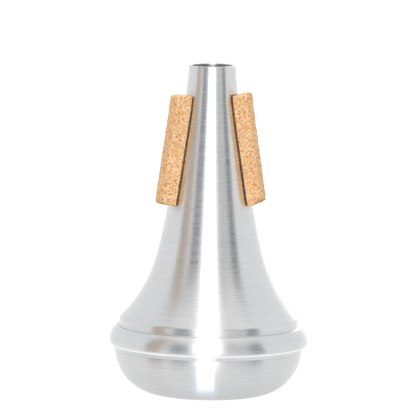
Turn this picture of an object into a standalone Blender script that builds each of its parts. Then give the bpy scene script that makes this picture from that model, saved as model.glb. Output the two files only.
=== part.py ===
"""Piccolo trumpet straight mute.

A spun aluminium body, open at its narrow mouth, is hemmed over the flared rim of a spun bowl that closes its wide
end, and three bent cork strips are cemented to the neck. Metres, +Z up. The origin is the centre of the flat base
that the mute stands on, and the strip-free side of the neck faces -Y.
"""

import math

import bmesh
import bpy

MM = 0.001

# Cap: a bowl spun from sheet, with a flat base and one large corner
CAP_RADIUS = 33.0 * MM
CAP_CORNER = 16.1 * MM
CAP_SHEET = 0.9 * MM

# Foot of the body: hem, bead, shoulder, ledge and short wall, each stepping in from the one below
BODY_SHEET = 0.95 * MM
BEAD_STAND_OUT = 2.0 * MM
BEAD_HEIGHT = 18.7 * MM
HEM_TURN = math.radians(40)
HEM_BEND = 1.0 * MM
SHOULDER_WIDTH = 2.3 * MM
SHOULDER_RISE = 5.5 * MM
LEDGE_WIDTH = 1.15 * MM
LEDGE_FILLET = 0.4 * MM
WALL_RISE = 3.05 * MM
WALL_BEND = 0.6 * MM

# Neck: a flare, a barrel and a throat, one above the other. A taper is the radius lost per unit of height
FLARE_RISE = 24.85 * MM
FLARE_TAPER = 0.97
WAIST_RADIUS = 18.0 * MM
WAIST_TAPER = 0.235
BARREL_RISE = 36.0 * MM
THROAT_RADIUS = 11.7 * MM
THROAT_TAPER = 0.158
THROAT_RISE = 28.5 * MM
MOUTH_RADIUS = 8.25 * MM
MOUTH_TAPER = 0.05
MOUTH_ROUND = 0.35 * MM

# Seam between body and cap
SEAM_GAP = 0.3 * MM
SEALANT_DIAMETER = 1.1 * MM

# Cork strips: two in front of the sides and one behind, each bedded in cement
CORK_DROP = 10.6 * MM
CORK_LENGTH = 38.5 * MM
CORK_WIDTH = 5.4 * MM
CORK_THICKNESS = 5.1 * MM
CORK_ROUND = 0.3 * MM
CORK_SPREAD = math.radians(63)
CEMENT_FILM = 0.3 * MM
CEMENT_MARGIN = 0.5 * MM
CEMENT_GAP = 0.2 * MM

# How finely curves are cut into straight steps
TURNS = 48
BEND_STEPS = 3
CURVE_STEPS = 6
CORNER_STEPS = 12
CORK_STEPS_ALONG = 11
CORK_STEPS_ACROSS = 4

# Radii and heights that follow from the sizes above
BEAD_RADIUS = CAP_RADIUS + BEAD_STAND_OUT
LEDGE_RADIUS = BEAD_RADIUS - SHOULDER_WIDTH
WALL_RADIUS = LEDGE_RADIUS - LEDGE_WIDTH
LEDGE_HEIGHT = BEAD_HEIGHT + SHOULDER_RISE
WALL_TOP = LEDGE_HEIGHT + WALL_RISE
WAIST_HEIGHT = WALL_TOP + FLARE_RISE
THROAT_HEIGHT = WAIST_HEIGHT + BARREL_RISE
MOUTH_HEIGHT = THROAT_HEIGHT + THROAT_RISE
SHOULDER_CURVE = (SHOULDER_WIDTH**2 + SHOULDER_RISE**2) / (2 * SHOULDER_WIDTH)
HEM_END_RADIUS = CAP_RADIUS + SEAM_GAP


def arc(centre, radius, start, end, steps):
    """Points (r, z) round a centre, from one angle to another, both ends included. Angle 0 points outwards."""
    points = []
    for i in range(steps + 1):
        angle = start + (end - start) * i / steps
        points.append((centre[0] + radius * math.cos(angle), centre[1] + radius * math.sin(angle)))
    return points


def span(top, bottom, steps):
    """A smooth run between two stations (r, z, taper), without its last point."""
    height = top[1] - bottom[1]
    points = []
    for i in range(steps):
        t = i / steps
        radius = (
            (2 * t**3 - 3 * t**2 + 1) * top[0]
            + (t**3 - 2 * t**2 + t) * height * top[2]
            + (3 * t**2 - 2 * t**3) * bottom[0]
            + (t**3 - t**2) * height * bottom[2]
        )
        points.append((radius, top[1] - height * t))
    return points


def neck_profile(steps):
    """The outside of throat, barrel and flare, from the mouth down to where the flare bends into the wall."""
    bend = WALL_BEND + BODY_SHEET
    lean = math.atan(FLARE_TAPER)
    flare_radius = WALL_RADIUS - bend * (1 - math.cos(lean))
    mouth = (MOUTH_RADIUS, MOUTH_HEIGHT, MOUTH_TAPER)
    throat = (THROAT_RADIUS, THROAT_HEIGHT, THROAT_TAPER)
    waist = (WAIST_RADIUS, WAIST_HEIGHT, WAIST_TAPER)
    flare = (flare_radius, WALL_TOP, FLARE_TAPER)
    points = span(mouth, throat, steps) + span(throat, waist, steps) + span(waist, flare, steps + 2)
    return points + arc((WALL_RADIUS - bend, WALL_TOP - bend * math.sin(lean)), bend, lean, 0, BEND_STEPS)


def hem_bend_end():
    """Where the hem's bend ends and its straight underside starts."""
    bend = HEM_BEND + BODY_SHEET
    return BEAD_RADIUS - bend * (1 - math.cos(HEM_TURN)), BEAD_HEIGHT - bend * math.sin(HEM_TURN)


def foot_profile():
    """The outside of wall, ledge, shoulder, bead and hem, downwards."""
    bend = HEM_BEND + BODY_SHEET
    fillet_centre = (WALL_RADIUS + LEDGE_FILLET, LEDGE_HEIGHT + LEDGE_FILLET)
    shoulder_centre = (BEAD_RADIUS - SHOULDER_CURVE, BEAD_HEIGHT)
    shoulder_start = math.asin(SHOULDER_RISE / SHOULDER_CURVE)
    end = hem_bend_end()
    points = arc(fillet_centre, LEDGE_FILLET, math.pi, 1.5 * math.pi, BEND_STEPS)
    points += arc(shoulder_centre, SHOULDER_CURVE, shoulder_start, 0, CURVE_STEPS)
    points += arc((BEAD_RADIUS - bend, BEAD_HEIGHT), bend, 0, -HEM_TURN, BEND_STEPS)[1:]
    points.append((HEM_END_RADIUS, end[1] - (end[0] - HEM_END_RADIUS) / math.tan(HEM_TURN)))
    return points


def offset(points, distance):
    """The same run of points moved square to itself, to the left of a run that goes down its outer side."""
    moved = []
    for i, (radius, height) in enumerate(points):
        before = points[max(i - 1, 0)]
        after = points[min(i + 1, len(points) - 1)]
        normals = []
        for start, stop in ((before, (radius, height)), ((radius, height), after)):
            length = math.dist(start, stop)
            if length > 0:
                normals.append(((stop[1] - start[1]) / length, (start[0] - stop[0]) / length))
        normal = (sum(n[0] for n in normals), sum(n[1] for n in normals))
        size = math.hypot(*normal)
        mitre = distance / (size / len(normals))
        moved.append((radius + mitre * normal[0] / size, height + mitre * normal[1] / size))
    return moved


def body_outline():
    """The body's whole cross-section: down its outside and back up its inside."""
    lip = min(MOUTH_ROUND, 0.4 * BODY_SHEET)
    outside = neck_profile(CURVE_STEPS) + foot_profile()
    inside = offset(outside, BODY_SHEET)
    # The hem is cut off parallel to the cap's wall
    (r0, z0), (r1, z1) = inside[-2:]
    inside[-1] = (HEM_END_RADIUS, z0 + (z1 - z0) * (HEM_END_RADIUS - r0) / (r1 - r0))
    bore = MOUTH_RADIUS - BODY_SHEET
    top_out = arc((MOUTH_RADIUS - lip, MOUTH_HEIGHT - lip), lip, math.pi / 2, 0, BEND_STEPS)
    top_in = arc((bore + lip, MOUTH_HEIGHT - lip), lip, math.pi, math.pi / 2, BEND_STEPS)
    return top_out + outside[1:] + inside[:0:-1] + top_in


def cap_rim():
    """The cap's rim, flared to lie along the inside of the hem: its outer end, and where it leaves the wall."""
    end = hem_bend_end()
    depth = BODY_SHEET + SEAM_GAP
    base = (end[0] - depth * math.cos(HEM_TURN), end[1] + depth * math.sin(HEM_TURN))
    outer_radius = BEAD_RADIUS - BODY_SHEET - SEAM_GAP
    outer = (outer_radius, base[1] + (outer_radius - base[0]) / math.tan(HEM_TURN))
    wall = (CAP_RADIUS, base[1] + (CAP_RADIUS - base[0]) / math.tan(HEM_TURN))
    return outer, wall


def cap_outline():
    """The cap's half cross-section, from the centre of its floor over the rim to the centre of its base."""
    rim, wall = cap_rim()
    corner = arc((CAP_RADIUS - CAP_CORNER, CAP_CORNER), CAP_CORNER, 0, -math.pi / 2, CORNER_STEPS)
    outside = [rim, wall] + corner + [(0.0, 0.0)]
    inside = offset(outside, CAP_SHEET)
    inside[-1] = (0.0, CAP_SHEET)
    return inside[::-1] + outside


def sealant_outline():
    """A round bead of sealant in the corner above the cap's rim, against the inside of the shoulder."""
    radius = SEALANT_DIAMETER / 2
    rim, _ = cap_rim()
    height = rim[1] + CAP_SHEET * math.sin(HEM_TURN) + SEAM_GAP + radius
    curve = SHOULDER_CURVE - BODY_SHEET
    shoulder = BEAD_RADIUS - SHOULDER_CURVE + math.sqrt(curve**2 - (height - BEAD_HEIGHT) ** 2)
    centre = (shoulder - SEAM_GAP - radius, height)
    return arc(centre, radius, math.pi / 2, -1.5 * math.pi, 2 * CURVE_STEPS)[:-1]


def along(profile, distance):
    """The point and the outward normal at a distance down a run of points."""
    for (r0, z0), (r1, z1) in zip(profile, profile[1:]):
        length = math.dist((r0, z0), (r1, z1))
        if distance <= length:
            break
        distance -= length
    t = distance / length
    return (r0 + (r1 - r0) * t, z0 + (z1 - z0) * t), ((z0 - z1) / length, (r1 - r0) / length)


def make_material(name, colour, roughness, metallic):
    material = bpy.data.materials.new(name)
    material.use_nodes = True
    shader = material.node_tree.nodes["Principled BSDF"]
    shader.inputs["Base Color"].default_value = (*colour, 1.0)
    shader.inputs["Roughness"].default_value = roughness
    shader.inputs["Metallic"].default_value = metallic
    return material


def add_object(name, mesh, material, collection):
    mesh.materials.append(material)
    item = bpy.data.objects.new(name, mesh)
    collection.objects.link(item)
    return item


def turned(name, outline, is_ring, material, collection):
    """A piece turned round the Z axis from half its cross-section."""
    mesh = bpy.data.meshes.new(name)
    count = len(outline)
    edges = [(i, (i + 1) % count) for i in range(count if is_ring else count - 1)]
    mesh.from_pydata([(radius, 0.0, height) for radius, height in outline], edges, [])
    item = add_object(name, mesh, material, collection)
    screw = item.modifiers.new("Turn", "SCREW")
    screw.axis = "Z"
    screw.angle = 2 * math.pi
    screw.steps = TURNS
    screw.render_steps = TURNS
    screw.use_merge_vertices = True
    screw.merge_threshold = 0.00001
    screw.use_smooth_shade = True
    return item


def bent_strip_mesh(name, margin, bottom, top, is_film):
    """A strip bent along the neck at +X: margin is cut from each edge, bottom and top are heights off the neck."""
    profile = neck_profile(8 * CURVE_STEPS)
    length = CORK_LENGTH - 2 * margin
    width = CORK_WIDTH - 2 * margin
    bm = bmesh.new()
    bmesh.ops.create_cube(bm, size=1.0)
    for axis, cuts in ((0, CORK_STEPS_ALONG - 1), (1, CORK_STEPS_ACROSS - 1)):
        edges = [e for e in bm.edges if abs(e.verts[0].co[axis] - e.verts[1].co[axis]) > 0.5]
        bmesh.ops.subdivide_edges(bm, edges=edges, cuts=cuts, use_grid_fill=True)
    for vertex in bm.verts:
        (radius, height), normal = along(profile, CORK_DROP + margin + (vertex.co.x + 0.5) * length)
        side = vertex.co.y * width
        is_under = vertex.co.z < 0
        lift = bottom if is_under else top
        reach = radius + lift * normal[0]
        if is_under or is_film:
            # Hollow across its width, as the round neck is under it
            reach = math.sqrt(reach**2 - side**2)
        vertex.co = (reach, side, height + lift * normal[1])
    bmesh.ops.recalc_face_normals(bm, faces=bm.faces)
    mesh = bpy.data.meshes.new(name)
    bm.to_mesh(mesh)
    bm.free()
    return mesh


def build_strips(cork, cement, collection):
    """Three cork strips and the cement film under each, turned about the axis to their places."""
    cork_bottom = CEMENT_FILM + 2 * CEMENT_GAP
    cork_mesh = bent_strip_mesh("cork_strip", 0.0, cork_bottom, cork_bottom + CORK_THICKNESS, False)
    film_mesh = bent_strip_mesh("cork_cement", CEMENT_MARGIN, CEMENT_GAP, CEMENT_GAP + CEMENT_FILM, True)
    front = -math.pi / 2
    places = {"left": front - CORK_SPREAD, "right": front + CORK_SPREAD, "rear": front + math.pi}
    for place, angle in places.items():
        strip = add_object(f"cork_strip_{place}", cork_mesh.copy(), cork, collection)
        strip.rotation_euler.z = angle
        bevel = strip.modifiers.new("Worn edges", "BEVEL")
        bevel.width = CORK_ROUND
        bevel.segments = 1
        bevel.limit_method = "ANGLE"
        bevel.angle_limit = math.radians(50)
        film = add_object(f"cork_cement_{place}", film_mesh.copy(), cement, collection)
        film.rotation_euler.z = angle


def main():
    for item in list(bpy.data.objects):
        bpy.data.objects.remove(item, do_unlink=True)
    collection = bpy.data.collections.new("piccolo_trumpet_straight_mute")
    bpy.context.scene.collection.children.link(collection)

    aluminium = make_material("brushed aluminium", (0.80, 0.81, 0.82), 0.28, 1.0)
    cork = make_material("agglomerated cork", (0.80, 0.53, 0.27), 0.9, 0.0)
    cement = make_material("contact cement", (0.20, 0.09, 0.03), 0.6, 0.0)
    sealant = make_material("grey sealant", (0.35, 0.35, 0.36), 0.7, 0.0)

    turned("body_shell", body_outline(), True, aluminium, collection)
    turned("bottom_cap", cap_outline(), False, aluminium, collection)
    turned("seam_sealant", sealant_outline(), True, sealant, collection)
    build_strips(cork, cement, collection)


main()
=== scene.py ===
"""Looks of a piccolo trumpet straight mute: satin-turned aluminium with three strips of pressed cork.

Metres, +Z up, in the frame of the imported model. The side of the neck that has no cork strip faces -Y, where
the camera stands.
"""

import logging
import math
from dataclasses import dataclass, field
from enum import Enum

import bmesh
import bpy
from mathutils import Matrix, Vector, noise

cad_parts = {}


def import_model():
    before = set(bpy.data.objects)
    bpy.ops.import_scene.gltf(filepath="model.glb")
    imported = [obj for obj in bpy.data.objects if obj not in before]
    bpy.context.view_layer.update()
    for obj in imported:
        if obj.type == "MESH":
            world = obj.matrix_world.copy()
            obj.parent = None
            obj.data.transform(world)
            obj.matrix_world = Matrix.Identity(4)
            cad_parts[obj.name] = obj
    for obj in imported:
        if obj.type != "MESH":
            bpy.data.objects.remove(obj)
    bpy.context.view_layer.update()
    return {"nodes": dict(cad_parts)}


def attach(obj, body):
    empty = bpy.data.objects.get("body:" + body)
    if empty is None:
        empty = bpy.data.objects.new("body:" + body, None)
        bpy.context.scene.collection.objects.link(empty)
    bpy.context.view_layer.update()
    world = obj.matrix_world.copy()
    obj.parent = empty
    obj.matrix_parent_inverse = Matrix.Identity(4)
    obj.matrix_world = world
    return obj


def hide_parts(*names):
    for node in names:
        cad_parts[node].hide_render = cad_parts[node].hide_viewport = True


MM = 0.001
ROOT_BODY = "root"
SHELL_TURNS = 192
BEAD_TURNS = 128
NECK_STEPS = 60
NOISE_SEED = 1
MERGE_DISTANCE = 0.002 * MM

log = logging.getLogger("mute")

Point = tuple[float, float]
Station = tuple[float, float, float]
Colour = tuple[float, float, float]


class Strip(Enum):
    """The three cork strips, by where they sit on the neck."""

    LEFT = "left"
    RIGHT = "right"
    REAR = "rear"


def arc(centre: Point, radius: float, start: float, end: float, steps: int) -> list[Point]:
    """Walks round a centre.

    Args:
        centre: The arc's centre (r, z).
        radius: The arc's radius.
        start: First angle in radians, 0 pointing outwards.
        end: Last angle in radians.
        steps: How many straight steps the arc is cut into.

    Returns:
        The points (r, z), both ends included.
    """
    angles = [start + (end - start) * i / steps for i in range(steps + 1)]
    return [(centre[0] + radius * math.cos(a), centre[1] + radius * math.sin(a)) for a in angles]


def soften(points: list[Point], corner: int, reach: float, steps: int) -> list[Point]:
    """Rounds one corner of a run of points.

    Args:
        points: The run (r, z).
        corner: Index of the corner to round.
        reach: How far the rounding reaches along both sides.
        steps: How many straight steps the rounding is cut into.

    Returns:
        A new run, with the corner replaced by a curve.
    """
    tip = Vector(points[corner])
    before = tip + (Vector(points[corner - 1]) - tip).normalized() * reach
    after = tip + (Vector(points[corner + 1]) - tip).normalized() * reach
    curve = []
    for i in range(steps + 1):
        t = i / steps
        curve.append(tuple(before * (1 - t) ** 2 + tip * 2 * t * (1 - t) + after * t**2))
    return points[:corner] + curve + points[corner + 1 :]


def offset(points: list[Point], distance: float) -> list[Point]:
    """Moves a run that goes down its outer side square to itself, inwards.

    Args:
        points: The run (r, z).
        distance: How far it moves.

    Returns:
        The moved run, with mitred corners.
    """
    moved = []
    for i, here in enumerate(points):
        normal = Vector((0.0, 0.0))
        count = 0
        for start, stop in ((points[max(i - 1, 0)], here), (here, points[min(i + 1, len(points) - 1)])):
            step = Vector(stop) - Vector(start)
            if step.length > 0:
                normal += Vector((step.y, -step.x)) / step.length
                count += 1
        mitre = distance * count / normal.length
        moved.append(tuple(Vector(here) + normal.normalized() * mitre))
    return moved


def new_object(name: str, bm: bmesh.types.BMesh, smooth_angle: float = 40.0) -> bpy.types.Object:
    """Makes a shaded object of a finished bmesh.

    Args:
        name: The piece's name.
        bm: The mesh, which is freed.
        smooth_angle: Edges sharper than this, in degrees, stay sharp.

    Returns:
        The linked object, at the origin.
    """
    mesh = bpy.data.meshes.new(name)
    bm.to_mesh(mesh)
    bm.free()
    mesh.shade_smooth()
    mesh.set_sharp_from_angle(angle=math.radians(smooth_angle))
    item = bpy.data.objects.new(name, mesh)
    bpy.context.scene.collection.objects.link(item)
    return item


def spun(name: str, outline: list[Point], turns: int, is_ring: bool) -> bpy.types.Object:
    """Turns half a cross-section round the Z axis.

    Args:
        name: The piece's name.
        outline: Points (r, z) in order.
        turns: Steps round the axis.
        is_ring: Whether the outline closes on itself, rather than ending on the axis.

    Returns:
        The turned piece.
    """
    bm = bmesh.new()
    verts = [bm.verts.new((radius, 0.0, height)) for radius, height in outline]
    ends = verts[1:] + verts[:1] if is_ring else verts[1:]
    edges = [bm.edges.new(pair) for pair in zip(verts, ends)]
    bmesh.ops.spin(
        bm,
        geom=verts + edges,
        axis=(0, 0, 1),
        cent=(0, 0, 0),
        angle=2 * math.pi,
        steps=turns,
        use_merge=True,
    )
    bmesh.ops.remove_doubles(bm, verts=bm.verts, dist=MERGE_DISTANCE)
    bmesh.ops.recalc_face_normals(bm, faces=bm.faces)
    return new_object(name, bm)


def dressed(item: bpy.types.Object, material: bpy.types.Material, node: str) -> bpy.types.Object:
    """Gives a piece its finish and its place in the frame.

    Args:
        item: The piece.
        material: Its material.
        node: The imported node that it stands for.

    Returns:
        The same piece.
    """
    item.data.materials.append(material)
    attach(item, ROOT_BODY)
    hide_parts(node)
    log.info("%s: %d faces", item.name, len(item.data.polygons))
    return item


class Shader:
    """A material's node tree, with short ways to add and join nodes."""

    def __init__(self, tree: bpy.types.NodeTree) -> None:
        """Keeps the tree that the nodes go into."""
        self.tree = tree

    def node(self, kind: str, inputs: dict | None = None, **settings: object) -> bpy.types.Node:
        """Adds a node.

        Args:
            kind: The node's type name, without ShaderNode.
            inputs: Values or output sockets for its inputs, by name or number.
            **settings: The node's own properties.

        Returns:
            The new node.
        """
        made = self.tree.nodes.new(kind if kind.startswith("Node") else f"ShaderNode{kind}")
        for name, value in settings.items():
            setattr(made, name, value)
        for key, value in (inputs or {}).items():
            if isinstance(value, bpy.types.NodeSocket):
                self.tree.links.new(value, made.inputs[key])
            else:
                made.inputs[key].default_value = value
        return made

    def maths(self, operation: str, *values: object) -> bpy.types.NodeSocket:
        """Adds a Math node and returns its output."""
        return self.node("Math", dict(enumerate(values)), operation=operation).outputs[0]

    def stretch(self, value: bpy.types.NodeSocket, given: Point, wanted: Point) -> bpy.types.NodeSocket:
        """Maps one range of a value to another, clamped.

        Args:
            value: The value's socket.
            given: The range that the value has.
            wanted: The range that it gets.

        Returns:
            The mapped value's socket.
        """
        limits = {"From Min": given[0], "From Max": given[1], "To Min": wanted[0], "To Max": wanted[1]}
        return self.node("MapRange", {"Value": value, **limits}).outputs["Result"]

    def mix(self, share: object, first: object, second: object) -> bpy.types.NodeSocket:
        """Mixes two colours.

        Args:
            share: The second colour's share, as a socket or a number.
            first: A socket or a colour.
            second: A socket or a colour.

        Returns:
            The mixed colour's socket.
        """
        made = self.node("Mix", data_type="RGBA")
        for key, value in ((0, share), (6, first), (7, second)):
            if isinstance(value, bpy.types.NodeSocket):
                self.tree.links.new(value, made.inputs[key])
            else:
                made.inputs[key].default_value = value if key == 0 else (*value[:3], 1.0)
        return made.outputs[2]


@dataclass(frozen=True)
class Zone:
    """A part of a turned piece's surface, between two radii and two heights."""

    low: Point
    high: Point
    looks_in: bool

    def holds(self, face: bpy.types.MeshPolygon) -> bool:
        """Says whether a face lies in the zone.

        Args:
            face: The face.

        Returns:
            True where its centre is in the zone and it looks at the axis or away from it, as the zone does.
        """
        radius, height = face.center.xy.length, face.center.z
        is_within = self.low[0] <= radius <= self.high[0] and self.low[1] <= height <= self.high[1]
        looks_out = face.normal.xy.dot(face.center.xy) > 0
        return is_within and looks_out != self.looks_in

    def finish(self, item: bpy.types.Object, material: bpy.types.Material) -> None:
        """Gives the zone's faces a finish of their own.

        Args:
            item: The turned piece.
            material: The zone's material.
        """
        item.data.materials.append(material)
        index = len(item.data.materials) - 1
        for face in item.data.polygons:
            if self.holds(face):
                face.material_index = index


def start_group(name: str, inputs: dict[str, float], outputs: list[str]) -> bpy.types.NodeTree:
    """Starts a shader node group with number sockets.

    Args:
        name: The group's name.
        inputs: Input names with their default values.
        outputs: Output names.

    Returns:
        The group, still without nodes.
    """
    tree = bpy.data.node_groups.new(name, "ShaderNodeTree")
    for label, value in inputs.items():
        socket = tree.interface.new_socket(label, in_out="INPUT", socket_type="NodeSocketFloat")
        socket.default_value = value
    for label in outputs:
        tree.interface.new_socket(label, in_out="OUTPUT", socket_type="NodeSocketFloat")
    return tree


def make_turning_lines() -> bpy.types.NodeTree:
    """Builds the group for the fine lines that turning leaves round a piece.

    Returns:
        The group. It puts out fine lines, broad bands and blotches, each from 0 to 1. Pitches are in mm.
    """
    inputs = {"Radius share": -1.0, "Fine pitch": 0.16, "Band pitch": 0.9}
    group = start_group("Turning lines", inputs, ["Fine", "Bands", "Blotches"])
    made = Shader(group)
    given = made.node("NodeGroupInput")
    place = made.node("TexCoord").outputs["Object"]
    flat = made.node("VectorMath", {0: place, 1: (1.0, 1.0, 0.0)}, operation="MULTIPLY").outputs[0]
    radius = made.node("VectorMath", {0: flat}, operation="LENGTH").outputs["Value"]
    around = made.node("VectorMath", {0: flat}, operation="NORMALIZE").outputs[0]
    height = made.node("SeparateXYZ", {0: place}).outputs["Z"]
    run = made.maths("ADD", height, made.maths("MULTIPLY", radius, given.outputs["Radius share"]))
    run_in_mm = made.maths("DIVIDE", run, MM)
    middle, whole = (0.3, 0.7), (0.0, 1.0)
    found = {}
    for name, pitch, change_round_axis in (("Fine", "Fine pitch", 0.9), ("Bands", "Band pitch", 0.35)):
        lines = made.maths("DIVIDE", run_in_mm, given.outputs[pitch])
        wind = made.node("VectorMath", {0: around, "Scale": change_round_axis}, operation="SCALE").outputs[0]
        rise = made.node("CombineXYZ", {"Z": lines}).outputs[0]
        spot = made.node("VectorMath", {0: wind, 1: rise}, operation="ADD").outputs[0]
        grain = made.node("TexNoise", {"Vector": spot, "Scale": 1.0, "Detail": 3.0, "Roughness": 0.6})
        found[name] = made.stretch(grain.outputs[0], middle, whole)
    blotch = made.node("TexNoise", {"Vector": place, "Scale": 60.0, "Detail": 3.0})
    found["Blotches"] = made.stretch(blotch.outputs[0], middle, whole)
    made.node("NodeGroupOutput", found)
    return group


@dataclass(frozen=True)
class SatinAluminium:
    """Spun aluminium, turned to a satin finish with lines round the axis."""

    name: str
    radius_share: float
    colour: Colour = (0.76, 0.765, 0.765)
    worn_colour: Colour = (0.66, 0.665, 0.67)
    roughness: tuple[float, float] = (0.22, 0.38)
    anisotropy: float = 0.92
    smear_turn: float = 0.25
    line_tone: float = 0.45
    blotch_tone: float = 0.3
    line_matt: float = 0.6
    band_matt: float = 0.4
    groove_depth: float = 0.003 * MM
    wave_depth: float = 0.006 * MM

    def make(self, lines: bpy.types.NodeTree) -> bpy.types.Material:
        """Builds the material.

        Args:
            lines: The turning lines group.

        Returns:
            The material.
        """
        material = bpy.data.materials.new(self.name)
        material.use_nodes = True
        made = Shader(material.node_tree)
        shader = material.node_tree.nodes["Principled BSDF"]
        shader.inputs["Metallic"].default_value = 1.0
        shader.inputs["Anisotropic"].default_value = self.anisotropy
        shader.inputs["Anisotropic Rotation"].default_value = self.smear_turn
        turned = made.node("Group", node_tree=lines)
        turned.inputs["Radius share"].default_value = self.radius_share
        fine, bands, blotches = (turned.outputs[n] for n in ("Fine", "Bands", "Blotches"))
        line_tone = made.maths("MULTIPLY", fine, self.line_tone)
        blotch_tone = made.maths("MULTIPLY", blotches, self.blotch_tone)
        colour = made.mix(made.maths("ADD", line_tone, blotch_tone), self.colour, self.worn_colour)
        line_matt = made.maths("MULTIPLY", fine, self.line_matt)
        band_matt = made.maths("MULTIPLY", bands, self.band_matt)
        rough = made.stretch(made.maths("ADD", line_matt, band_matt), (0.15, 0.85), self.roughness)
        waves = made.node("Bump", {"Height": bands, "Distance": self.wave_depth, "Strength": 1.0})
        lines_on_waves = {"Height": fine, "Distance": self.groove_depth, "Normal": waves.outputs[0]}
        grooves = made.node("Bump", lines_on_waves)
        round_axis = made.node("Tangent", direction_type="RADIAL", axis="Z")
        links = material.node_tree.links
        links.new(colour, shader.inputs["Base Color"])
        links.new(rough, shader.inputs["Roughness"])
        links.new(grooves.outputs[0], shader.inputs["Normal"])
        links.new(round_axis.outputs[0], shader.inputs["Tangent"])
        return material


@dataclass(frozen=True)
class AgglomeratedCork:
    """Pressed cork granules with dark bark specks between them."""

    name: str = "agglomerated cork"
    light: Colour = (1.0, 0.80, 0.52)
    middle: Colour = (0.95, 0.51, 0.20)
    # Also the colour of the painted shade in the grooves and pits between granules.
    deep: Colour = (0.68, 0.24, 0.06)
    speck: Colour = (0.38, 0.13, 0.04)
    roughness: tuple[float, float] = (0.78, 0.95)
    shine: float = 0.25
    grain_scale: float = 2600.0
    fleck_scale: float = 2700.0
    pore_depth: float = 0.12 * MM

    def make(self) -> bpy.types.Material:
        """Builds the material.

        Returns:
            The material. It reads the granule and hollow attributes of the mesh, and darkens the cork in the
            hollows as painted shade.
        """
        material = bpy.data.materials.new(self.name)
        material.use_nodes = True
        made = Shader(material.node_tree)
        shader = material.node_tree.nodes["Principled BSDF"]
        place = made.node("TexCoord").outputs["Object"]
        granule = made.node("Attribute", attribute_name="granule").outputs["Fac"]
        hollow = made.node("Attribute", attribute_name="hollow").outputs["Fac"]
        noise_look = {"Scale": self.grain_scale, "Detail": 3.0, "Roughness": 0.7}
        grain = made.node("TexNoise", {"Vector": place, **noise_look}).outputs[0]
        fleck = made.node("TexVoronoi", {"Vector": place, "Scale": self.fleck_scale, "Randomness": 1.0})
        tint = made.node("SeparateColor", {0: fleck.outputs["Color"]}).outputs
        tone = made.maths("ADD", made.maths("MULTIPLY", granule, 0.25), grain)
        colour = made.mix(made.stretch(tone, (0.42, 0.8), (0.0, 1.0)), self.light, self.middle)
        colour = made.mix(made.stretch(tint[0], (0.66, 0.9), (0.0, 0.9)), colour, self.deep)
        colour = made.mix(made.stretch(tint[1], (0.95, 0.97), (0.0, 0.85)), colour, self.speck)
        # Painted shade: the cork is darkened towards the deep colour in the grooves and pits between
        # granules.
        colour = made.mix(made.stretch(hollow, (0.4, 1.0), (0.0, 0.6)), colour, self.deep)
        pores = made.maths("SUBTRACT", grain, made.maths("MULTIPLY", fleck.outputs["Distance"], 0.4))
        bump = made.node("Bump", {"Height": pores, "Distance": self.pore_depth, "Strength": 0.7})
        links = material.node_tree.links
        links.new(colour, shader.inputs["Base Color"])
        links.new(made.stretch(grain, (0.3, 0.7), self.roughness), shader.inputs["Roughness"])
        links.new(bump.outputs[0], shader.inputs["Normal"])
        shader.inputs["Specular IOR Level"].default_value = self.shine
        return material


@dataclass(frozen=True)
class Putty:
    """A matt or half-gloss paste: contact cement or sealant, with smears and lumps."""

    name: str
    colour: Colour
    dark: Colour
    roughness: tuple[float, float]
    lump_scale: float = 900.0
    smear_scale: float = 180.0
    lump_height: float = 0.08 * MM

    def make(self) -> bpy.types.Material:
        """Builds the material.

        Returns:
            The material.
        """
        material = bpy.data.materials.new(self.name)
        material.use_nodes = True
        made = Shader(material.node_tree)
        shader = material.node_tree.nodes["Principled BSDF"]
        place = made.node("TexCoord").outputs["Object"]
        lumps = made.node("TexNoise", {"Vector": place, "Scale": self.lump_scale, "Detail": 4.0})
        smears = made.node("TexNoise", {"Vector": place, "Scale": self.smear_scale, "Detail": 2.0})
        tone = made.stretch(smears.outputs[0], (0.35, 0.65), (0.0, 1.0))
        relief = {"Height": lumps.outputs[0], "Distance": self.lump_height, "Strength": 0.8}
        bump = made.node("Bump", relief)
        links = material.node_tree.links
        links.new(made.mix(tone, self.colour, self.dark), shader.inputs["Base Color"])
        links.new(made.stretch(lumps.outputs[0], (0.3, 0.7), self.roughness), shader.inputs["Roughness"])
        links.new(bump.outputs[0], shader.inputs["Normal"])
        return material


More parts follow.
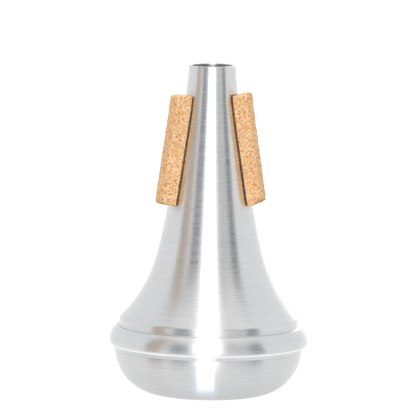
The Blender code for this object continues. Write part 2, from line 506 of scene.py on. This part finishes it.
@dataclass
class Foot:
    """Hem, bead, shoulder, ledge and short wall at the body's wide end, and the bowl that closes it."""

    cap_radius: float = 33.0 * MM
    cap_corner: float = 16.1 * MM
    cap_sheet: float = 0.9 * MM
    sheet: float = 0.95 * MM
    bead_stand_out: float = 2.0 * MM
    bead_height: float = 18.7 * MM
    hem_turn: float = math.radians(40)
    hem_bend: float = 1.0 * MM
    shoulder_width: float = 2.3 * MM
    shoulder_rise: float = 5.5 * MM
    ledge_width: float = 1.15 * MM
    ledge_fillet: float = 0.4 * MM
    ledge_round: float = 0.35 * MM
    wall_rise: float = 3.05 * MM
    seam_gap: float = 0.3 * MM
    sealant_radius: float = 0.55 * MM
    sealant_lumps: float = 0.1 * MM
    lumps_per_metre: float = 180.0

    def __post_init__(self) -> None:
        """Works out the radii and heights that follow from the sizes."""
        self.bead_radius = self.cap_radius + self.bead_stand_out
        self.ledge_radius = self.bead_radius - self.shoulder_width
        self.wall_radius = self.ledge_radius - self.ledge_width
        self.ledge_height = self.bead_height + self.shoulder_rise
        self.wall_top = self.ledge_height + self.wall_rise
        width, rise = self.shoulder_width, self.shoulder_rise
        self.shoulder_curve = (width**2 + rise**2) / (2 * width)
        self.hem_radius = self.cap_radius + self.seam_gap

    def bend_end(self) -> Point:
        """Finds where the hem's bend ends and its straight underside starts.

        Returns:
            The point (r, z).
        """
        bend = self.hem_bend + self.sheet
        turn = self.hem_turn
        return self.bead_radius - bend * (1 - math.cos(turn)), self.bead_height - bend * math.sin(turn)

    def profile(self, steps: int, is_soft: bool) -> list[Point]:
        """Draws the outside from the foot of the wall down to the hem's edge.

        Args:
            steps: Steps of the longest curve.
            is_soft: Whether the ledge's outer edge is rounded.

        Returns:
            The points (r, z), downwards.
        """
        bend = self.hem_bend + self.sheet
        fillet = (self.wall_radius + self.ledge_fillet, self.ledge_height + self.ledge_fillet)
        points = arc(fillet, self.ledge_fillet, math.pi, 1.5 * math.pi, max(3, steps // 3))
        corner = len(points)
        start = math.asin(self.shoulder_rise / self.shoulder_curve)
        shoulder = (self.bead_radius - self.shoulder_curve, self.bead_height)
        points += arc(shoulder, self.shoulder_curve, start, 0, steps)
        bead = (self.bead_radius - bend, self.bead_height)
        points += arc(bead, bend, 0, -self.hem_turn, max(3, steps // 2))[1:]
        end = self.bend_end()
        points.append((self.hem_radius, end[1] - (end[0] - self.hem_radius) / math.tan(self.hem_turn)))
        return soften(points, corner, self.ledge_round, 5) if is_soft else points

    def rim(self) -> tuple[Point, Point]:
        """Finds the bowl's flared rim inside the hem.

        Returns:
            Its outer end, and the point where it leaves the bowl's wall.
        """
        end = self.bend_end()
        depth = self.sheet + self.seam_gap
        base = Vector(end) + depth * Vector((-math.cos(self.hem_turn), math.sin(self.hem_turn)))
        slope = math.tan(self.hem_turn)
        outer = self.bead_radius - self.sheet - self.seam_gap
        outer_end = (outer, base.y + (outer - base.x) / slope)
        wall_end = (self.cap_radius, base.y + (self.cap_radius - base.x) / slope)
        return outer_end, wall_end

    def build_cap(self, corner_steps: int = 64, base_steps: int = 12) -> bpy.types.Object:
        """Turns the bowl from the centre of its floor over its rim to the centre of its base.

        Args:
            corner_steps: Steps of the large corner.
            base_steps: Steps of the flat base.

        Returns:
            The bowl.
        """
        rim, wall = self.rim()
        centre = (self.cap_radius - self.cap_corner, self.cap_corner)
        outside = [rim, wall] + arc(centre, self.cap_corner, 0, -math.pi / 2, corner_steps)
        base = [(centre[0] * (1 - i / base_steps), 0.0) for i in range(1, base_steps + 1)]
        inside = offset(outside + [(0.0, 0.0)], self.cap_sheet)
        inside[-1] = (0.0, self.cap_sheet)
        return spun("bottom_bowl", inside[::-1] + outside + base, SHELL_TURNS, is_ring=False)

    def build_sealant(self) -> bpy.types.Object:
        """Turns the lumpy bead of sealant in the corner above the bowl's rim.

        Returns:
            The bead.
        """
        rim, _ = self.rim()
        radius = self.sealant_radius
        height = rim[1] + self.cap_sheet * math.sin(self.hem_turn) + self.seam_gap + radius
        curve = self.shoulder_curve - self.sheet
        reach = math.sqrt(curve**2 - (height - self.bead_height) ** 2)
        shoulder = self.bead_radius - self.shoulder_curve + reach
        centre = (shoulder - self.seam_gap - radius, height)
        ring = arc(centre, radius, math.pi / 2, -1.5 * math.pi, 16)[:-1]
        item = spun("seam_bead", ring, BEAD_TURNS, is_ring=True)
        for vertex in item.data.vertices:
            vertex.co.z += self.sealant_lumps * noise.noise(vertex.co * self.lumps_per_metre)
        return item


@dataclass
class Body:
    """The spun body: throat, barrel, flare and foot in one sheet."""

    foot: Foot
    flare_rise: float = 24.85 * MM
    flare_taper: float = 0.97
    wall_bend: float = 0.6 * MM
    waist_radius: float = 18.0 * MM
    waist_taper: float = 0.235
    barrel_rise: float = 36.0 * MM
    throat_radius: float = 11.7 * MM
    throat_taper: float = 0.158
    throat_rise: float = 28.5 * MM
    mouth_radius: float = 8.25 * MM
    mouth_taper: float = 0.05
    lip: float = 0.3 * MM
    burnish_drop: float = 0.75 * MM
    burnish_margin: float = 0.1 * MM
    waver: float = 0.012 * MM
    wavers_per_metre: float = 620.0
    waver_seed: float = 7.0

    def __post_init__(self) -> None:
        """Works out the heights that follow from the sizes."""
        self.waist_height = self.foot.wall_top + self.flare_rise
        self.throat_height = self.waist_height + self.barrel_rise
        self.mouth_height = self.throat_height + self.throat_rise

    @staticmethod
    def span(top: Station, bottom: Station, steps: int) -> list[Point]:
        """Draws a smooth run between two stations.

        Args:
            top: The upper station (r, z, taper), where the taper is how fast the radius grows downwards.
            bottom: The lower station.
            steps: How many straight steps the run is cut into.

        Returns:
            The points (r, z), downwards, without the last one.
        """
        height = top[1] - bottom[1]
        points = []
        for i in range(steps):
            t = i / steps
            swell = (2 * t**3 - 3 * t**2 + 1) * top[0] + (3 * t**2 - 2 * t**3) * bottom[0]
            lean = (t**3 - 2 * t**2 + t) * height * top[2] + (t**3 - t**2) * height * bottom[2]
            points.append((swell + lean, top[1] - height * t))
        return points

    def neck(self, steps: int) -> list[Point]:
        """Draws the outside from the mouth down to the short wall.

        Args:
            steps: Steps of each of the three spans.

        Returns:
            The points (r, z), downwards.
        """
        bend = self.wall_bend + self.foot.sheet
        lean = math.atan(self.flare_taper)
        wall = self.foot.wall_radius
        stations = [
            (self.mouth_radius, self.mouth_height, self.mouth_taper),
            (self.throat_radius, self.throat_height, self.throat_taper),
            (self.waist_radius, self.waist_height, self.waist_taper),
            (wall - bend * (1 - math.cos(lean)), self.foot.wall_top, self.flare_taper),
        ]
        points = []
        for top, bottom in zip(stations, stations[1:]):
            points += self.span(top, bottom, steps)
        return points + arc((wall - bend, self.foot.wall_top - bend * math.sin(lean)), bend, lean, 0, 5)

    def build(self) -> bpy.types.Object:
        """Turns the whole sheet, with a slight waver that the spinning roller leaves.

        Returns:
            The body.
        """
        fine = self.neck(NECK_STEPS)
        wavy = []
        for i, (radius, height) in enumerate(fine):
            fade = min(1.0, i / 8, (len(fine) - 1 - i) / 8)
            spot = Vector((0.0, self.waver_seed, height * self.wavers_per_metre))
            wavy.append((radius + fade * self.waver * noise.noise(spot), height))
        outside = wavy + self.foot.profile(18, is_soft=True)
        sheet = self.foot.sheet
        inside = offset(self.neck(16) + self.foot.profile(9, is_soft=False), sheet)
        (r0, z0), (r1, z1) = inside[-2:]
        edge = self.foot.hem_radius
        inside[-1] = (edge, z0 + (z1 - z0) * (edge - r0) / (r1 - r0))
        bore = self.mouth_radius - sheet
        lip = self.lip
        top_out = arc((self.mouth_radius - lip, self.mouth_height - lip), lip, math.pi / 2, 0, 5)
        top_in = arc((bore + lip, self.mouth_height - lip), lip, math.pi, math.pi / 2, 5)
        return spun("spun_body", top_out + outside[1:] + inside[:0:-1] + top_in, SHELL_TURNS, is_ring=True)

    def burnished_zone(self) -> Zone:
        """Finds the turned-in edge under the bead, which the spinning tool burnishes.

        Returns:
            The zone, on the outside.
        """
        foot = self.foot
        low = (foot.hem_radius, foot.bend_end()[1] - self.burnish_margin)
        high = (foot.bead_radius, foot.bead_height - self.burnish_drop)
        return Zone(low, high, looks_in=False)

    def inner_zone(self) -> Zone:
        """Returns the inside below the lip, whose metal colour is darkened there as painted shade."""
        return Zone((0.0, 0.0), (self.foot.bead_radius, self.mouth_height - self.lip), looks_in=True)


@dataclass
class CorkStrip:
    """One cork strip, hand cut from sheet, bent along the neck and set in cement.

    Its skew slants its ends from the underside to the top, and its lean moves its lower end to the side.
    """

    body: Body
    place: Strip
    angle: float
    width: float = 5.4 * MM
    thickness: float = 5.1 * MM
    skew: float = 0.0
    lean: float = 0.0
    length: float = 38.5 * MM
    drop: float = 10.6 * MM
    lift: float = 0.5 * MM
    edge_round: float = 0.65 * MM
    worn_end: float = 2.0 * MM
    crumb: float = 0.9
    crumbs_per_metre: float = 700.0
    granule: float = 0.8 * MM
    granule_bend: float = 0.25
    groove_width: float = 0.16
    groove_depth: float = 0.05 * MM
    pit_share: float = 0.035
    pit_depth: float = 0.3 * MM
    swell: float = 0.06 * MM
    ripple: float = 0.035 * MM
    sink: float = 0.05 * MM
    pitch: float = 0.24 * MM
    cement_margin: float = 0.3 * MM
    cement_gap: float = 0.03 * MM
    cement_pitch: float = 0.4 * MM
    ooze: float = 0.1
    oozes_per_metre: float = 900.0
    profile: list[Point] = field(default_factory=list)

    def __post_init__(self) -> None:
        """Draws the neck that the strip is bent along."""
        self.profile = self.body.neck(NECK_STEPS)

    def along(self, distance: float) -> tuple[Vector, Vector]:
        """Finds a place down the neck.

        Args:
            distance: How far down the neck's outside, from the mouth.

        Returns:
            The point (r, z) and the outward normal.
        """
        for start, stop in zip(self.profile, self.profile[1:]):
            step = Vector(stop) - Vector(start)
            if distance <= step.length:
                break
            distance -= step.length
        return Vector(start) + step * (distance / step.length), Vector((-step.y, step.x)) / step.length

    @staticmethod
    def block(sizes: Vector, pitch: float) -> bmesh.types.BMesh:
        """Cuts a box into a fine grid of faces.

        Args:
            sizes: The box's length, width and thickness.
            pitch: About how wide a face is.

        Returns:
            The mesh, centred on the origin.
        """
        bm = bmesh.new()
        bmesh.ops.create_cube(bm, size=1.0)
        for axis in range(3):
            edges = [e for e in bm.edges if abs(e.verts[0].co[axis] - e.verts[1].co[axis]) > 0.5]
            cuts = max(1, round(sizes[axis] / pitch) - 1)
            bmesh.ops.subdivide_edges(bm, edges=edges, cuts=cuts, use_grid_fill=True)
        bmesh.ops.scale(bm, vec=sizes, verts=bm.verts)
        return bm

    def set_on_neck(self, spot: Vector, is_hollow: bool) -> Vector:
        """Bends a point of the flat strip onto the neck.

        Args:
            spot: Distance down the neck, distance to the side, and height off the neck.
            is_hollow: Whether the point follows the round neck across the strip too.

        Returns:
            The point in the frame.
        """
        centre, normal = self.along(spot.x)
        reach = centre.x + spot.z * normal.x
        if is_hollow:
            reach = math.sqrt(reach**2 - spot.y**2)
        shift = self.lean * (spot.x - self.drop) / self.length / centre.x
        height = centre.y + spot.z * normal.y
        turn = (math.cos(self.angle + shift), math.sin(self.angle + shift))
        return Vector((reach * turn[0] - spot.y * turn[1], reach * turn[1] + spot.y * turn[0], height))

    def roughen(self, spot: Vector, outward: Vector, seed: Vector) -> tuple[Vector, float, float]:
        """Moves a surface point as the granules under it lie.

        Args:
            spot: The point on the flat strip.
            outward: The surface's direction there.
            seed: Sets this strip's granules apart from the others'.

        Returns:
            The moved point, the granule's tone and how deep in a hollow it lies, both from 0 to 1.
        """
        where = (spot + seed) / self.granule
        where += noise.noise_vector(where * 1.7) * self.granule_bend
        distances, centres = noise.voronoi(where)
        tone = noise.cell(centres[0] * 7.3 + Vector((0.5, 0.5, 0.5))) % 1.0
        groove = max(0.0, 1.0 - (distances[1] - distances[0]) / self.groove_width)
        draw = noise.cell(centres[0] * 5.1 + Vector((3.5, 1.5, 2.5))) % 1.0
        pit = 1.0 if draw > 1.0 - self.pit_share else 0.0
        pit *= min(1.0, max(0.0, (0.5 - distances[0]) / 0.2))
        rise = self.swell * (tone - 0.5) + self.ripple * noise.noise(where * 4.0)
        depth = self.groove_depth * groove + self.pit_depth * pit + self.sink
        return spot + outward * (rise - depth), tone, min(1.0, 0.75 * groove + pit)

    def rounding(self, corner: Vector, sizes: Vector, seed: Vector) -> float:
        """Finds how far an edge has worn and crumbled, most at the ends and least at the neck.

        Args:
            corner: The point on the sharp box.
            sizes: The box's length, width and thickness.
            seed: Sets this strip's crumbs apart from the others'.

        Returns:
            The radius there.
        """
        crumb = 1.0 + self.crumb * noise.noise((corner + seed) * self.crumbs_per_metre)
        off_neck = min(1.0, max(0.3, 0.5 + 2.0 * corner.z / sizes.z))
        near_end = min(1.0, max(0.0, 1.0 - (sizes.x / 2 - abs(corner.x)) / self.worn_end))
        return self.edge_round * off_neck * (1.0 + near_end) * min(1.3, max(0.4, crumb))

    def build_cork(self) -> bpy.types.Object:
        """Models the strip with rounded, crumbled edges and its granules.

        Returns:
            The strip, with granule and hollow attributes.
        """
        sizes = Vector((self.length, self.width, self.thickness))
        bm = self.block(sizes, self.pitch)
        tones = bm.verts.layers.float.new("granule")
        hollow_shade_layer = bm.verts.layers.float.new("hollow")
        seed = Vector((11.0 * self.angle, 3.0 * self.angle, 1.0)) * MM * 10
        for vertex in bm.verts:
            inset = self.rounding(vertex.co, sizes, seed)
            core = Vector([max(-h / 2 + inset, min(h / 2 - inset, c)) for c, h in zip(vertex.co, sizes)])
            outward = (vertex.co - core).normalized()
            spot = core + outward * inset
            is_underside = vertex.co.z < -sizes.z / 2 + self.pitch / 2
            if not is_underside:
                spot, vertex[tones], vertex[hollow_shade_layer] = self.roughen(spot, outward, seed)
            slant = self.skew * spot.z / sizes.z
            spot += Vector((self.drop + sizes.x / 2 + slant, 0.0, self.lift + sizes.z / 2))
            vertex.co = self.set_on_neck(spot, is_underside)
        return new_object(f"cork_{self.place.value}", bm, smooth_angle=180.0)

    def build_cement(self) -> bpy.types.Object:
        """Models the film between neck and cork, squeezed out unevenly along its edges, which is coloured
        dark partly as painted shade in the gap under the cork.

        Returns:
            The film.
        """
        margin = self.cement_margin
        film = self.lift - 2 * self.cement_gap
        sizes = Vector((self.length - 2 * margin, self.width - 2 * margin, film))
        bm = self.block(sizes, self.cement_pitch)
        for vertex in bm.verts:
            place = vertex.co * self.oozes_per_metre + Vector((self.angle, 0.0, 5.0))
            squeeze = 1.0 + self.ooze * noise.noise(place)
            spot = Vector((vertex.co.x + self.drop + self.length / 2, vertex.co.y * squeeze, vertex.co.z))
            spot.z += film / 2 + self.cement_gap
            vertex.co = self.set_on_neck(spot, is_hollow=True)
        return new_object(f"cement_{self.place.value}", bm)


@dataclass(frozen=True)
class Card:
    """A curved board round the object that shows only as a reflection in the metal.

    It reaches from one azimuth in degrees to another, where 0 is behind the camera and right is positive.
    """

    name: str
    start: float
    stop: float
    bottom: float
    top: float
    colour: Colour

    def build(self, distance: float) -> bpy.types.Object:
        """Spins the board and lights it evenly.

        Args:
            distance: How far from the object's axis it stands.

        Returns:
            The board.
        """
        bm = bmesh.new()
        turn = math.radians(self.start - 90.0)
        foot = bm.verts.new((distance * math.cos(turn), distance * math.sin(turn), self.bottom))
        head = bm.verts.new((foot.co.x, foot.co.y, self.top))
        edge = bm.edges.new((foot, head))
        sweep = math.radians(self.stop - self.start)
        geom = [foot, head, edge]
        bmesh.ops.spin(bm, geom=geom, axis=(0, 0, 1), cent=(0, 0, 0), angle=sweep, steps=12)
        item = new_object(self.name, bm)
        material = bpy.data.materials.new(self.name)
        material.use_nodes = True
        material.node_tree.nodes.clear()
        made = Shader(material.node_tree)
        glow = made.node("Emission", {"Color": (*self.colour, 1.0), "Strength": 1.0})
        made.node("OutputMaterial", {"Surface": glow.outputs[0]})
        item.data.materials.append(material)
        item.visible_camera = False
        item.visible_diffuse = False
        item.visible_shadow = False
        item.visible_transmission = False
        return item


@dataclass(frozen=True)
class TableStrip(Card):
    """A sector of the table round the object, which shows only as a reflection in the metal."""

    start_ahead: float = 16.5 * MM
    pad: float = 8.0 * MM
    height: float = 0.2 * MM

    def build(self, distance: float) -> bpy.types.Object:
        """Lays the board down on the table.

        Args:
            distance: How far from the object's axis the board would stand.

        Returns:
            The sector, from the radius given as bottom to the radius given as top.
        """
        item = super().build(distance)
        for vertex in item.data.vertices:
            share = (vertex.co.z - self.bottom) / (self.top - self.bottom)
            reach = self.bottom + share * (self.top - self.bottom)
            flat = vertex.co.xy.normalized()
            vertex.co = (flat.x * (reach + self.pad), flat.y * reach - self.start_ahead, self.height)
        return item


@dataclass(frozen=True)
class Softbox:
    """A soft lamp that faces the object. A radiance of 1 is that of white paper in full light."""

    name: str
    place: tuple[float, float, float]
    width: float
    height: float
    radiance: float
    aim_height: float = 0.06

    def hang(self) -> None:
        """Hangs the lamp, out of the camera's sight."""
        data = bpy.data.lights.new(self.name, "AREA")
        data.shape = "RECTANGLE"
        data.size = self.width
        data.size_y = self.height
        data.energy = self.radiance * math.pi * self.width * self.height
        item = bpy.data.objects.new(self.name, data)
        bpy.context.scene.collection.objects.link(item)
        item.location = self.place
        way = Vector((0.0, 0.0, self.aim_height)) - Vector(self.place)
        item.rotation_mode = "QUATERNION"
        item.rotation_quaternion = way.to_track_quat("-Z", "Y")
        item.visible_camera = False


@dataclass
class Studio:
    """White floor and surroundings, soft lamps, boards for the metal to reflect, and the camera."""

    camera_distance: float = 1.8
    camera_height: float = 0.2724
    camera_side: float = -0.0008
    aim_height: float = 0.0659
    lens: float = 443.9
    roll: float = math.radians(0.86)
    world_light: float = 0.85
    floor_glow: float = 0.9
    floor_glow_in_metal: float = 0.72
    floor_paint: float = 0.25
    floor_reach: float = 12.0
    card_distance: float = 1.2

    def build_camera(self) -> None:
        """Stands the camera in front of the object, a little above it and a little rolled."""
        data = bpy.data.cameras.new("camera")
        data.lens = self.lens
        data.sensor_width = 36.0
        data.clip_end = 100.0
        item = bpy.data.objects.new("camera", data)
        bpy.context.scene.collection.objects.link(item)
        item.location = (self.camera_side, -self.camera_distance, self.camera_height)
        drop = math.atan2(self.camera_height - self.aim_height, self.camera_distance)
        item.rotation_mode = "XYZ"
        item.rotation_euler = (math.pi / 2 - drop, 0.0, 0.0)
        item.rotation_euler.rotate_axis("Z", self.roll)
        bpy.context.scene.camera = item

    def build_world(self) -> None:
        """Makes white surroundings for the camera and for reflections, and softer light for the rest."""
        world = bpy.data.worlds.new("white surroundings")
        bpy.context.scene.world = world
        world.use_nodes = True
        world.node_tree.nodes.clear()
        made = Shader(world.node_tree)
        rays = made.node("LightPath").outputs
        seen = made.maths("MAXIMUM", rays["Is Camera Ray"], rays["Is Glossy Ray"])
        seen = made.maths("MAXIMUM", seen, rays["Is Transmission Ray"])
        strength = made.stretch(seen, (0.0, 1.0), (self.world_light, 1.0))
        back = made.node("Background", {"Color": (1.0, 1.0, 1.0, 1.0), "Strength": strength})
        made.node("OutputWorld", {"Surface": back.outputs[0]})

    def build_floor(self) -> bpy.types.Object:
        """Lays a white floor that keeps a soft shadow.

        Returns:
            The floor.
        """
        bm = bmesh.new()
        bmesh.ops.create_grid(bm, x_segments=8, y_segments=8, size=self.floor_reach)
        item = new_object("floor", bm)
        material = bpy.data.materials.new("white floor")
        material.use_nodes = True
        material.node_tree.nodes.clear()
        made = Shader(material.node_tree)
        rays = made.node("LightPath").outputs
        seen = made.maths("MULTIPLY", rays["Is Camera Ray"], self.floor_glow)
        bounced = made.maths("MAXIMUM", rays["Is Glossy Ray"], rays["Is Transmission Ray"])
        bounced = made.maths("MULTIPLY", bounced, self.floor_glow_in_metal)
        paint = self.floor_paint
        matt = made.node("BsdfDiffuse", {"Color": (paint, paint, paint, 1.0)})
        glow = made.node("Emission", {"Strength": made.maths("ADD", seen, bounced)})
        both = made.node("AddShader", {0: matt.outputs[0], 1: glow.outputs[0]})
        made.node("OutputMaterial", {"Surface": both.outputs[0]})
        item.data.materials.append(material)
        return item

    @staticmethod
    def lamps() -> list[Softbox]:
        """Lists the lamps. The front one makes the white stripe down the metal.

        Returns:
            The lamps, not yet hung.
        """
        return [
            Softbox("front softbox", (-0.03, -2.2, 0.75), width=1.05, height=1.5, radiance=3.6),
            Softbox("top softbox", (0.0, -0.75, 1.5), width=0.42, height=1.2, radiance=3.4),
            Softbox("rear softbox", (0.35, 2.2, 1.0), width=0.7, height=1.4, radiance=1.5),
        ]

    @staticmethod
    def table_strips() -> list[Card]:
        """Lists what lies on the table: the stripe's lower end, and the marks in the wall and the bead.

        Returns:
            The strips, not yet built.
        """
        return [
            TableStrip("table_bright", -12.5, 7.5, 0.0115, 1.6, (1.55, 1.57, 1.6), height=0.4 * MM),
            TableStrip("table_edge", -18.5, 13.0, 0.008, 1.6, (0.97, 1.03, 1.10)),
            TableStrip("table_left_dark", -46.0, -19.0, 0.09, 0.5, (0.32, 0.36, 0.42)),
            TableStrip("table_left_warm", -76.0, -56.0, 0.07, 0.5, (0.66, 0.48, 0.41)),
            TableStrip("table_right_grey", 34.0, 51.0, 0.10, 0.5, (0.55, 0.58, 0.63)),
            TableStrip("table_right_dark", 51.0, 68.0, 0.08, 0.5, (0.28, 0.30, 0.33)),
        ]

    @staticmethod
    def boards() -> list[Card]:
        """Lists what stands round the object: the grey and brown bands beside the white stripe.

        Returns:
            The boards, not yet built.
        """
        pale = (0.90, 0.915, 0.92)
        return [
            Card("board_left_dark", -45.0, -24.0, 0.0, 0.85, (0.22, 0.25, 0.29)),
            Card("board_left_light", -55.0, -46.0, 0.0, 1.6, (0.80, 0.78, 0.74)),
            Card("board_left_warm", -64.0, -55.0, 0.0, 1.6, (0.64, 0.54, 0.47)),
            Card("board_left_brown", -78.0, -64.0, 0.0, 1.6, (0.50, 0.44, 0.38)),
            Card("board_left_far", -168.0, -78.0, 0.0, 1.7, pale),
            Card("board_right_soft", 22.0, 29.0, 0.0, 1.1, (0.50, 0.52, 0.57)),
            Card("board_right_warm", 29.0, 35.0, 0.0, 1.6, (0.66, 0.60, 0.56)),
            Card("board_right_grey", 35.0, 48.0, 0.0, 1.0, (0.62, 0.64, 0.67)),
            Card("board_right_dark", 49.0, 67.0, 0.0, 0.9, (0.22, 0.23, 0.25)),
            Card("board_right_far", 70.0, 160.0, 0.0, 1.7, pale),
        ]

    def build(self) -> None:
        """Sets up the whole studio."""
        bpy.context.scene.view_settings.view_transform = "Standard"
        self.build_camera()
        self.build_world()
        self.build_floor()
        for lamp in self.lamps():
            lamp.hang()
        for card in self.table_strips() + self.boards():
            card.build(self.card_distance)


def main() -> None:
    """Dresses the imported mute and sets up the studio."""
    logging.basicConfig(level=logging.INFO, format="%(message)s")
    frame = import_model()
    log.info("packed nodes: %d", len(frame["nodes"]))
    noise.seed_set(NOISE_SEED)

    lines = make_turning_lines()
    body_metal = SatinAluminium("satin aluminium body", -1.0).make(lines)
    bowl_metal = SatinAluminium(
        "satin aluminium bowl",
        1.0,
        colour=(0.71, 0.715, 0.715),
        worn_colour=(0.63, 0.635, 0.64),
    ).make(lines)
    edge_metal = SatinAluminium(
        "burnished aluminium edge",
        -1.0,
        colour=(0.97, 0.97, 0.97),
        worn_colour=(0.93, 0.93, 0.93),
        roughness=(0.20, 0.28),
        anisotropy=0.5,
    ).make(lines)
    # The inside gets a darker metal colour: painted shade in the hollow body.
    inner_metal_painted_shade = SatinAluminium(
        "inner aluminium darkened as painted shade",
        -1.0,
        colour=(0.46, 0.465, 0.47),
        worn_colour=(0.36, 0.365, 0.37),
        roughness=(0.35, 0.5),
        anisotropy=0.6,
    ).make(lines)
    cork = AgglomeratedCork().make()
    # The cement's near-black brown is partly the glue's own colour and partly painted shade in the gap under
    # the cork strips.
    cement = Putty("contact cement", (0.17, 0.06, 0.02), (0.08, 0.028, 0.01), (0.45, 0.7)).make()
    paste = Putty("grey sealant", (0.36, 0.36, 0.37), (0.26, 0.26, 0.27), (0.55, 0.8)).make()

    foot = Foot()
    body = Body(foot)
    shell = dressed(body.build(), body_metal, "body_shell")
    body.burnished_zone().finish(shell, edge_metal)
    body.inner_zone().finish(shell, inner_metal_painted_shade)
    dressed(foot.build_cap(), bowl_metal, "bottom_cap")
    dressed(foot.build_sealant(), paste, "seam_sealant")

    front = -math.pi / 2
    spread = math.radians(63)
    strips = [
        CorkStrip(
            body,
            Strip.LEFT,
            front - spread,
            width=6.3 * MM,
            thickness=5.35 * MM,
            skew=0.2 * MM,
            length=39.2 * MM,
        ),
        CorkStrip(
            body,
            Strip.RIGHT,
            front + spread,
            width=5.3 * MM,
            thickness=5.3 * MM,
            skew=-1.1 * MM,
            lean=1.2 * MM,
            length=39.4 * MM,
            drop=9.7 * MM,
        ),
        CorkStrip(body, Strip.REAR, front + math.pi),
    ]
    for strip in strips:
        place = strip.place.value
        dressed(strip.build_cork(), cork, f"cork_strip_{place}")
        # Cement film, coloured dark partly as painted shade.
        dressed(strip.build_cement(), cement, f"cork_cement_{place}")

    Studio().build()


if __name__ == "__main__":
    main()
